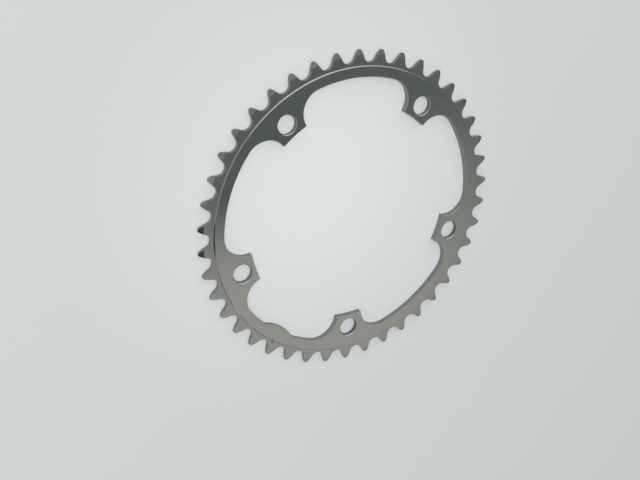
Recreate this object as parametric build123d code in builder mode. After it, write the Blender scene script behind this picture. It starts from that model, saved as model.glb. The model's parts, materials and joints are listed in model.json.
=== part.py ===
from build123d import *

import os
from math import acos, atan2, cos, degrees, radians, sin, sqrt

# Inner chainring of a bicycle crankset, one piece of aluminium plate.
# A stepped blank is turned, its edge is cut into roller-chain teeth, and its middle is opened
# to leave five bolt tabs and one index lug on a slim rim.
# The ring lies on its back face in the XY plane, with its axis on Z and its lug on +X.

# Driving dimensions, in millimetres and degrees

# Chain and teeth
tooth_count = 42
chain_pitch = 12.7
roller_diameter = 7.75
seat_clearance = 0.04       # the roller seat's radius over the roller's own
tip_height = 2.78           # tooth tips above the pitch circle
flank_radius = 17.0         # convex flank between roller seat and tip
tip_corner_radius = 0.4
tooth_phase = 1.27          # turn of the first tooth from the lug

# Section of the ring, from the face that shows to the back
body_thickness = 3.5
front_step = 0.52           # the tooth plate lies this far below the front face
tooth_thickness = 1.9
tip_thickness = 0.7         # what both tip bevels leave at the tips
step_run = 0.46             # radial run of the sloped steps
step_margin = 1.42          # flat plate between the steps and the bottoms of the tooth gaps
rim_depth = 7.1             # from the bottoms of the tooth gaps in to the rim's inner edge
edge_break = 0.1

# Bolt tabs
bolt_count = 5
bolt_hole_diameter = 10.2
bolt_hole_chamfer = 0.35
nut_recess_diameter = 12.5
nut_recess_depth = 1.45
register_diameter = 120.1   # bore across the tab ends, which centres the ring
tab_wall = 2.35             # between the bolt holes and the tab ends
tab_width = 15.15
tab_flank_radius = 12.0     # concave flanks that run from the tabs into the rim

# Index lug and its punch mark
lug_height = 2.9
lug_radius = 22.0
punch_diameter = 0.8
punch_depth = 0.3

# Sizes that follow

pitch_angle = 360 / tooth_count
pitch_radius = chain_pitch / (2 * sin(radians(pitch_angle / 2)))
tip_radius = pitch_radius + tip_height
root_radius = pitch_radius - roller_diameter / 2
seat_radius = roller_diameter / 2 + seat_clearance
seat_centre_radius = root_radius + seat_radius
seat_half_angle = (140 - 90 / tooth_count) / 2

plate_front = body_thickness - front_step
plate_back = plate_front - tooth_thickness
tip_bevel = (tooth_thickness - tip_thickness) / 2
step_foot_radius = root_radius - step_margin
face_radius = step_foot_radius - step_run
rim_radius = root_radius - rim_depth

tab_angle = 360 / bolt_count
bolt_circle_radius = register_diameter / 2 + tab_wall + bolt_hole_diameter / 2
flank_centre_radius = rim_radius - tab_flank_radius
flank_centre_offset = tab_width / 2 + tab_flank_radius
flank_centre_angle = tab_angle / 2 - degrees(atan2(
    flank_centre_offset, sqrt(flank_centre_radius**2 - flank_centre_offset**2)))
lug_centre_radius = rim_radius - lug_height + lug_radius
punch_radius = (step_foot_radius + root_radius) / 2


def polar(radius, angle):
    """Point in the ring's plane, the angle in degrees from +X."""
    return Vector(radius * cos(radians(angle)), radius * sin(radians(angle)))


# One tooth gap, drawn about its roller's centre with +X pointing out of the ring:
# a round seat, then convex flanks that open past the tips.
overrun = seat_radius / 2
gap_top = tip_radius - seat_centre_radius + overrun
flank_centre = polar(seat_radius + flank_radius, 180 - seat_half_angle)
flank_sweep = seat_half_angle - degrees(acos((gap_top - flank_centre.X) / flank_radius))

with BuildSketch() as tooth_gap:
    with BuildLine():
        CenterArc((0, 0), seat_radius, 180 - seat_half_angle, 2 * seat_half_angle)
        flank = CenterArc(flank_centre, flank_radius, -seat_half_angle, flank_sweep)
        Line(flank @ 1, (gap_top, 0))
        mirror(about=Plane.XZ)
    make_face()

# Outline of all the teeth
with BuildSketch() as toothed_outline:
    Circle(tip_radius)
    with PolarLocations(seat_centre_radius, tooth_count, start_angle=tooth_phase + pitch_angle / 2):
        add(tooth_gap.sketch, mode=Mode.SUBTRACT)
    tip_corners = toothed_outline.vertices().group_by(SortBy.DISTANCE)[-1]
    tip_land = toothed_outline.edges().group_by(SortBy.DISTANCE)[-1][0].length
    fillet(tip_corners, min(tip_corner_radius, tip_land / 2))

# One window between two tabs, symmetric about +X: the sides of the two tabs run in to where
# they meet, and concave flanks join them to the rim.
side_meeting = (tab_width / 2 / sin(radians(tab_angle / 2)), 0)
flank_seat = polar(flank_centre_radius, flank_centre_angle)
flank_start = flank_seat + polar(tab_flank_radius, tab_angle / 2 + 90)

with BuildSketch() as window:
    with BuildLine():
        side = Line(side_meeting, flank_start)
        TangentArc(side @ 1, polar(rim_radius, flank_centre_angle), tangent=side % 1)
        CenterArc((0, 0), rim_radius, 0, flank_centre_angle)
        mirror(about=Plane.XZ)
    make_face()

# The whole opening: windows, register bore, and the lug that stands into one window
with BuildSketch() as opening:
    Circle(register_diameter / 2)
    with PolarLocations(0, bolt_count):
        add(window.sketch)
    with Locations((lug_centre_radius, 0)):
        Circle(lug_radius, mode=Mode.SUBTRACT)

with BuildPart() as chainring:
    # Turned blank with a step on each face and bevelled tooth tips
    with BuildSketch(Plane.XZ):
        with BuildLine():
            Polyline(
                (0, 0),
                (face_radius, 0),
                (step_foot_radius, plate_back),
                (pitch_radius, plate_back),
                (tip_radius, plate_back + tip_bevel),
                (tip_radius, plate_front - tip_bevel),
                (pitch_radius, plate_front),
                (step_foot_radius, plate_front),
                (face_radius, body_thickness),
                (0, body_thickness),
                close=True,
            )
        make_face()
    revolve(axis=Axis.Z)

    # Teeth
    extrude(toothed_outline.sketch, amount=body_thickness, mode=Mode.INTERSECT)

    # Opening, with its edges broken on both faces
    extrude(opening.sketch, amount=body_thickness, mode=Mode.SUBTRACT)
    faces_by_height = chainring.faces().filter_by(Axis.Z).sort_by(Axis.Z)
    opening_edges = [faces_by_height[i].inner_wires()[0].edges() for i in (0, -1)]
    chamfer(opening_edges[0] + opening_edges[1], edge_break)

    # Bolt holes, countersunk lightly at the front and recessed at the back
    with Locations((0, 0, body_thickness)):
        with PolarLocations(bolt_circle_radius, bolt_count, start_angle=tab_angle / 2):
            CounterSinkHole(bolt_hole_diameter / 2, bolt_hole_diameter / 2 + bolt_hole_chamfer,
                            counter_sink_angle=90)
    with BuildSketch():
        with PolarLocations(bolt_circle_radius, bolt_count, start_angle=tab_angle / 2):
            Circle(nut_recess_diameter / 2)
    extrude(amount=nut_recess_depth, mode=Mode.SUBTRACT)

    # Punch mark on the tooth plate beside the lug
    with Locations((punch_radius, 0, plate_front)):
        Cone(0, punch_diameter / 2, punch_depth, align=(Align.CENTER, Align.CENTER, Align.MAX),
             mode=Mode.SUBTRACT)

chainring.part.label = "chainring"

os.makedirs("parts", exist_ok=True)
export_step(chainring.part, "parts/chainring.step")
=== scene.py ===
"""Looks of a bicycle chainring: satin anodised metal on a pale floor, in soft studio light."""

import json
import math

import bpy
from mathutils import Matrix, Vector

MM = 0.001

# Camera, fitted to the bolt holes and the outline in the photograph
CAMERA_POSITION = Vector((-13.015, -316.564, 405.511)) * MM
CAMERA_LOOK = Vector((0.065592, 0.605338, -0.793262))
CAMERA_UP = Vector((-0.843890, -0.390579, -0.367829))
CAMERA_LENS = 54.456
SENSOR_WIDTH = 36.0
CLIP_START = 10 * MM

# Tones of the metal's skin
DEEP_TONE = (0.535, 0.535, 0.518, 1.0)
PALE_TONE = (0.565, 0.566, 0.552, 1.0)
LINE_TONE = (0.590, 0.590, 0.578, 1.0)
RUBBED_TONE = (0.70, 0.70, 0.69, 1.0)
# Near-black painted shade for the punch mark's dimple
PUNCH_PAINTED_SHADE_TONE = (0.03, 0.03, 0.028, 1.0)
# Painted shade: shares of those tones kept by the walls, the bolt-hole bores and the tooth plate, darker
# than the faces
WALL_PAINTED_SHADE = (0.54, 0.552, 0.532, 1.0)
BORE_PAINTED_SHADE = (0.38, 0.39, 0.38, 1.0)
TOOTH_PLATE_PAINTED_SHADE = (0.955, 0.955, 0.96, 1.0)
# How much of the line tone and the rubbed tone shows at most
LINE_STRENGTH = 0.35
RUBBED_STRENGTH = 0.25

# Roughness between the lines and on them, and what other places add to it
LINE_ROUGHNESS = (0.110, 0.150)
CLOUD_ROUGHNESS = (-0.012, 0.012)
WALL_ROUGHNESS = 0.45
TOOTH_PLATE_ROUGHNESS = 0.05

# Marks in the skin: turned lines, the cutter's marks down the walls, grain and clouds
TURNING_PITCH = 0.22 * MM
TURNING_BREAKS = 3.0                            # along each radian of a turned line
CUTTER_SCALE = (5000.0, 5000.0, 300.0)
GRAIN_SCALE = 9000.0
CLOUD_SCALE = 55.0
# Noise values between which each mark comes in
CLOUD_SPAN = (0.3, 0.7)
LINE_TONE_SPAN = (0.25, 0.75)
LINE_ROUGHNESS_SPAN = (0.2, 0.8)
# Relief of the marks
LINE_RELIEF = 0.7
GRAIN_RELIEF = 0.5
RELIEF_STRENGTH = 0.10
RELIEF_DEPTH = 0.02 * MM

# Places on the ring. The first two are spans of a normal's upright share, from walls and from bevels.
WALL_TO_FACE = (0.3, 0.6)
BEVEL_TO_FACE = (0.985, 0.995)
WORN_EDGE = 0.08 * MM
WORN_EDGE_SAMPLES = 6
WORN_EDGE_COSINES = (0.995, 0.90)               # of the turn that rounding gives the normal
TOOTH_PLATE_BEGINS = (79.4 * MM, 79.8 * MM)     # radii across the foot of the step
BORE_MARGIN = (0.5 * MM, 0.9 * MM)              # just past a bolt hole's wall
# The punch mark, and round it the spans of a painted shade in its dimple
PUNCH_MARK = Vector((80.39, 0, 2.9)) * MM
PUNCH_PAINTED_SHADE = (0.40 * MM, 0.62 * MM)             # full to here round the mark, and gone from here

# The room that the metal mirrors: a light table on one side, a bright ceiling opposite, dim walls between.
# Each band of the walls has its cosine to TABLE_SIDE and its colour.
TABLE_SIDE = Vector((0.82, 0.43, -0.37)).normalized()
WALL_BANDS = (
    (-1.00, (0.93, 0.96, 0.98)),
    (-0.86, (0.73, 0.77, 0.785)),
    (-0.70, (0.57, 0.605, 0.615)),
    (-0.56, (0.28, 0.31, 0.31)),
    (-0.45, (0.195, 0.225, 0.222)),
    (-0.20, (0.142, 0.172, 0.170)),
    (-0.10, (0.130, 0.163, 0.161)),
    (-0.03, (0.090, 0.122, 0.126)),
)
# A span whose name ends in an axis is of that axis of a direction
ZENITH_LIFT = (0.068, 0.073, 0.071, 1.0)
ZENITH_Z = (0.86, 0.96)
CAMERA_SIDE_WALL = (0.36, 0.385, 0.39, 1.0)
CAMERA_SIDE_Y = (-0.50, -0.68)
TABLE_COLOUR = (0.490, 0.500, 0.461, 1.0)
# Shares of that colour that the table keeps near the horizon, in its lower part, and on its left
TABLE_HORIZON_SHARE = 0.62
TABLE_HORIZON_Z = (0.05, 0.24)
TABLE_LOW_SHARE = 0.72
TABLE_LOW_Z = (0.30, 0.75)
TABLE_LEFT_SHARE = 0.93
TABLE_LEFT_X = (0.05, 0.125)
# Cosines to TABLE_SIDE between which the table begins, where its edge is soft and where it is sharp
TABLE_EDGE_SOFT = (-0.20, 0.11)
TABLE_EDGE_SHARP = (-0.006, 0.034)
TABLE_SHARPENS_Z = (0.74, 0.83)
# Single things in the room: a direction, the angles in degrees at which each is full and ends, its colour
ROOM_SPOTS = (
    (Vector((0.180, 0.128, 0.975)), 3.0, 6.5, (0.36, 0.38, 0.37, 1.0)),
    (Vector((0.347, 0.217, 0.911)), 5.2, 6.4, (0.01, 0.012, 0.012, 1.0)),
    (Vector((0.836, -0.482, 0.252)), 5.5, 11.5, (0.012, 0.014, 0.014, 1.0)),
)

# Floor with a painted pool of light: palest round a point and at its darker edge colour from the falloff
# on, with a faint mottle
FLOOR_SIZE = 30.0
FLOOR_GAP = 0.02 * MM                           # keeps the floor out of the plane of the back face
FLOOR_COLOUR = (0.694, 0.716, 0.707, 1.0)
FLOOR_EDGE_COLOUR = (0.588, 0.605, 0.614, 1.0)
FLOOR_LIGHT_POOL_CENTRE = Vector((-4, -27, 0)) * MM
FLOOR_LIGHT_POOL_FALLOFF = 145 * MM
FLOOR_ROUGHNESS = 0.9
FLOOR_GLOSS = 0.1
MOTTLE_SCALE = 900.0
MOTTLE_SPAN = (0.3, 0.7)
MOTTLE_STRENGTH = 0.05

KEY_POSITION = Vector((-85, -1150, 2480)) * MM
KEY_SIZE = 0.8
KEY_POWER = 53.0


class Nodes:
    """A node tree with short calls that make a node, set its inputs and link what comes in."""

    def __init__(self, tree):
        self.tree = tree
        tree.nodes.clear()

    def add(self, kind, inputs=None, **settings):
        node = self.tree.nodes.new(kind)
        for name, value in settings.items():
            setattr(node, name, value)
        for name, value in (inputs or {}).items():
            if isinstance(value, bpy.types.NodeSocket):
                self.tree.links.new(value, node.inputs[name])
            else:
                node.inputs[name].default_value = value
        return node

    def math(self, operation, a, b=0.0):
        return self.add("ShaderNodeMath", {0: a, 1: b}, operation=operation).outputs[0]

    def vector(self, operation, a, b=(0.0, 0.0, 0.0)):
        node = self.add("ShaderNodeVectorMath", {0: a, 1: b}, operation=operation)
        return node.outputs["Value" if operation in ("DOT_PRODUCT", "LENGTH") else "Vector"]

    def point(self, x=0.0, y=0.0, z=0.0):
        return self.add("ShaderNodeCombineXYZ", {"X": x, "Y": y, "Z": z}).outputs[0]

    def axes(self, vector):
        return self.add("ShaderNodeSeparateXYZ", {0: vector}).outputs

    def distance(self, a, b):
        return self.vector("LENGTH", self.vector("SUBTRACT", a, b))

    def ease(self, value, span, to_low=0.0, to_high=1.0):
        low, high = span
        inputs = {"Value": value, "From Min": low, "From Max": high, "To Min": to_low, "To Max": to_high}
        return self.add("ShaderNodeMapRange", inputs, interpolation_type="SMOOTHSTEP").outputs["Result"]

    def mix(self, factor, a, b, blend="MIX"):
        # Sockets 6 and 7 and output 2 are those for colours
        node = self.add("ShaderNodeMix", {0: factor, 6: a, 7: b}, data_type="RGBA", blend_type=blend)
        return node.outputs[2]

    def tint(self, colour, share):
        return self.mix(1.0, colour, share, "MULTIPLY")

    def noise(self, vector, scale=1.0, detail=0.0):
        inputs = {"Vector": vector, "Scale": scale, "Detail": detail}
        return self.add("ShaderNodeTexNoise", inputs).outputs["Fac"]


def make_ring_metal(bolts):
    """Satin anodised aluminium: turned faces, milled walls, faint clouds, brighter worn edges, and painted
    shade on the walls, bores, tooth plate and punch mark.
    """
    material = bpy.data.materials.new("ring_metal_satin")
    material.use_nodes = True
    nodes = Nodes(material.node_tree)

    # Where a point lies on the ring, and what kind of surface it is on
    place = nodes.add("ShaderNodeTexCoord").outputs["Object"]
    axes = nodes.axes(place)
    radius = nodes.vector("LENGTH", nodes.point(axes["X"], axes["Y"]))
    angle = nodes.math("ARCTAN2", axes["Y"], axes["X"])
    normal = nodes.add("ShaderNodeNewGeometry").outputs["True Normal"]
    upright = nodes.math("ABSOLUTE", nodes.axes(normal)["Z"])
    turned = nodes.ease(upright, WALL_TO_FACE)
    tooth_plate = nodes.ease(radius, TOOTH_PLATE_BEGINS)
    flat_plate = nodes.math("MULTIPLY", tooth_plate, nodes.ease(upright, BEVEL_TO_FACE))
    bevel = nodes.add("ShaderNodeBevel", {"Radius": WORN_EDGE}, samples=WORN_EDGE_SAMPLES)
    edge = nodes.ease(nodes.vector("DOT_PRODUCT", bevel.outputs[0], normal), WORN_EDGE_COSINES)

    # Distance from the axis of the nearest bolt hole, the first of which lies half a spacing from +X
    half_spacing = math.pi / bolts["count"]
    off_hole = nodes.math("SUBTRACT", half_spacing, nodes.math("PINGPONG", angle, half_spacing))
    along = nodes.math("MULTIPLY", radius, nodes.math("COSINE", off_hole))
    across = nodes.math("MULTIPLY", radius, nodes.math("SINE", off_hole))
    from_circle = nodes.math("SUBTRACT", along, bolts["pcd_mm"] / 2 * MM)
    from_axis = nodes.vector("LENGTH", nodes.point(from_circle, across))
    past_bore = [bolts["hole_r_mm"] * MM + margin for margin in BORE_MARGIN]

    # Marks: lines that run round turned faces or down the walls, grain of the skin, and broad clouds
    outward = nodes.math("DIVIDE", radius, TURNING_PITCH)
    around = nodes.math("MULTIPLY", angle, TURNING_BREAKS)
    streaks = nodes.noise(nodes.point(outward, around), detail=2.0)
    cutter = nodes.noise(nodes.vector("MULTIPLY", place, CUTTER_SCALE), detail=1.0)
    lines = nodes.mix(turned, cutter, streaks)
    grain = nodes.noise(place, GRAIN_SCALE, detail=2.0)
    clouds = nodes.noise(place, CLOUD_SCALE, detail=3.0)

    tone = nodes.mix(nodes.ease(clouds, CLOUD_SPAN), DEEP_TONE, PALE_TONE)
    tone = nodes.mix(nodes.ease(lines, LINE_TONE_SPAN, 0.0, LINE_STRENGTH), tone, LINE_TONE)
    # Painted shade: the walls are toned darker, and the bolt-hole bores darker still
    painted_wall_shade = nodes.mix(nodes.ease(from_axis, past_bore), BORE_PAINTED_SHADE, WALL_PAINTED_SHADE)
    tone = nodes.mix(turned, nodes.tint(tone, painted_wall_shade), tone)
    # Painted shade: the tooth plate is toned a little darker than the body's face
    tone = nodes.mix(tooth_plate, tone, nodes.tint(tone, TOOTH_PLATE_PAINTED_SHADE))
    tone = nodes.mix(nodes.math("MULTIPLY", edge, RUBBED_STRENGTH), tone, RUBBED_TONE)
    # Painted shade: near-black in the punch mark's dimple
    tone = nodes.mix(nodes.ease(nodes.distance(place, PUNCH_MARK), PUNCH_PAINTED_SHADE), PUNCH_PAINTED_SHADE_TONE, tone)

    rough = nodes.ease(lines, LINE_ROUGHNESS_SPAN, *LINE_ROUGHNESS)
    rough = nodes.math("ADD", rough, nodes.ease(clouds, CLOUD_SPAN, *CLOUD_ROUGHNESS))
    rough = nodes.math("ADD", rough, nodes.ease(turned, (0.0, 1.0), WALL_ROUGHNESS, 0.0))
    rough = nodes.math("ADD", rough, nodes.math("MULTIPLY", flat_plate, TOOTH_PLATE_ROUGHNESS))

    height = nodes.math("ADD", nodes.math("MULTIPLY", lines, LINE_RELIEF),
                        nodes.math("MULTIPLY", grain, GRAIN_RELIEF))
    bump = nodes.add("ShaderNodeBump", {
        "Strength": RELIEF_STRENGTH, "Distance": RELIEF_DEPTH, "Height": height}).outputs[0]
    shader = nodes.add("ShaderNodeBsdfPrincipled", {
        "Base Color": tone, "Metallic": 1.0, "Roughness": rough, "Normal": bump})
    nodes.add("ShaderNodeOutputMaterial", {"Surface": shader.outputs[0]})
    return material


def make_floor():
    """A wide pale sheet under the ring, with a painted pool of light near the ring."""
    bpy.ops.mesh.primitive_plane_add(size=FLOOR_SIZE, location=(0, 0, -FLOOR_GAP))
    floor = bpy.context.object
    floor.name = "floor"
    material = bpy.data.materials.new("floor_paper")
    material.use_nodes = True
    nodes = Nodes(material.node_tree)
    place = nodes.add("ShaderNodeTexCoord").outputs["Object"]
    # Painted pool of light: the floor fades from its palest colour to its edge colour away from the centre
    outside_light_pool = nodes.ease(nodes.distance(place, FLOOR_LIGHT_POOL_CENTRE), (0.0, FLOOR_LIGHT_POOL_FALLOFF))
    mottle = nodes.noise(place, MOTTLE_SCALE, detail=4.0)
    mottle = nodes.ease(mottle, MOTTLE_SPAN, 0.0, MOTTLE_STRENGTH)
    tone = nodes.mix(outside_light_pool, FLOOR_COLOUR, FLOOR_EDGE_COLOUR)
    tone = nodes.mix(mottle, tone, FLOOR_EDGE_COLOUR)
    shader = nodes.add("ShaderNodeBsdfPrincipled", {
        "Base Color": tone, "Roughness": FLOOR_ROUGHNESS, "Specular IOR Level": FLOOR_GLOSS})
    nodes.add("ShaderNodeOutputMaterial", {"Surface": shader.outputs[0]})
    floor.data.materials.append(material)


def make_room():
    """World light: bands round TABLE_SIDE, a lift overhead, the table and the single things."""
    world = bpy.data.worlds.new("studio_room")
    bpy.context.scene.world = world
    world.use_nodes = True
    nodes = Nodes(world.node_tree)
    direction = nodes.vector("NORMALIZE", nodes.add("ShaderNodeTexCoord").outputs["Generated"])
    axes = nodes.axes(direction)
    toward_table = nodes.vector("DOT_PRODUCT", direction, TABLE_SIDE)

    # The ramp runs over the cosines from -1 to 0, and what lies beyond keeps its last colour
    ramp = nodes.add("ShaderNodeValToRGB", {0: nodes.math("ADD", toward_table, 1.0)})
    stops = ramp.color_ramp.elements
    while len(stops) < len(WALL_BANDS):
        stops.new(0.5)
    for stop, (cosine, colour) in zip(stops, WALL_BANDS):
        stop.position = cosine + 1
        stop.color = (*colour, 1.0)
    walls = nodes.mix(nodes.ease(axes["Z"], ZENITH_Z), ramp.outputs["Color"], ZENITH_LIFT, "ADD")
    walls = nodes.mix(nodes.ease(axes["Y"], CAMERA_SIDE_Y), walls, CAMERA_SIDE_WALL, "LIGHTEN")

    share = nodes.ease(axes["Z"], TABLE_HORIZON_Z, TABLE_HORIZON_SHARE, 1.0)
    share = nodes.math("MULTIPLY", share, nodes.ease(axes["Z"], TABLE_LOW_Z, TABLE_LOW_SHARE, 1.0))
    share = nodes.math("MULTIPLY", share, nodes.ease(axes["X"], TABLE_LEFT_X, TABLE_LEFT_SHARE, 1.0))
    table = nodes.tint(TABLE_COLOUR, nodes.point(share, share, share))
    table_edge = [nodes.ease(axes["Z"], TABLE_SHARPENS_Z, soft, sharp)
                  for soft, sharp in zip(TABLE_EDGE_SOFT, TABLE_EDGE_SHARP)]
    light = nodes.mix(nodes.ease(toward_table, table_edge), walls, table)

    for spot, full_angle, end_angle, colour in ROOM_SPOTS:
        nearness = nodes.vector("DOT_PRODUCT", direction, spot.normalized())
        span = [math.cos(math.radians(degrees)) for degrees in (end_angle, full_angle)]
        light = nodes.mix(nodes.ease(nearness, span), light, colour)
    background = nodes.add("ShaderNodeBackground", {"Color": light})
    nodes.add("ShaderNodeOutputWorld", {"Surface": background.outputs[0]})


def make_lamp(name, position, size, power):
    """A square soft lamp that points at the ring's middle."""
    data = bpy.data.lights.new(name, "AREA")
    data.size = size
    data.energy = power
    lamp = bpy.data.objects.new(name, data)
    lamp.location = position
    lamp.rotation_euler = (-position).to_track_quat("-Z", "Y").to_euler()
    bpy.context.scene.collection.objects.link(lamp)


def make_camera():
    """The photograph's camera."""
    data = bpy.data.cameras.new("camera")
    data.sensor_width = SENSOR_WIDTH
    data.lens = CAMERA_LENS
    data.clip_start = CLIP_START
    camera = bpy.data.objects.new("camera", data)
    back = -CAMERA_LOOK.normalized()
    right = CAMERA_UP.cross(back).normalized()
    turn = Matrix((right, back.cross(right), back)).transposed()
    camera.matrix_world = Matrix.Translation(CAMERA_POSITION) @ turn.to_4x4()
    bpy.context.scene.collection.objects.link(camera)
    bpy.context.scene.camera = camera


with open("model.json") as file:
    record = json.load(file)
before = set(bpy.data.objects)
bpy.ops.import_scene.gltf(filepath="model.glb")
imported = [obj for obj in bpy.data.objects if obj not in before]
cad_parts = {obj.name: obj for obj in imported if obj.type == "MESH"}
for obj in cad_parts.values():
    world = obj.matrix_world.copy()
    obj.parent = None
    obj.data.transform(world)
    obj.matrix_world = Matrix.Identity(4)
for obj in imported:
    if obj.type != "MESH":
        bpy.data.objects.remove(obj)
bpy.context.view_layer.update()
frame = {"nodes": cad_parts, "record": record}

bolt_mount = next(mount for mount in frame["record"]["mounts"] if mount["kind"] == "bolt_pattern")
ring = frame["nodes"]["chainring"]
ring.material_slots[0].material = make_ring_metal(bolt_mount["dims"])

make_floor()
make_room()
make_lamp("key", KEY_POSITION, KEY_SIZE, KEY_POWER)
make_camera()
bpy.context.scene.view_settings.view_transform = "Standard"
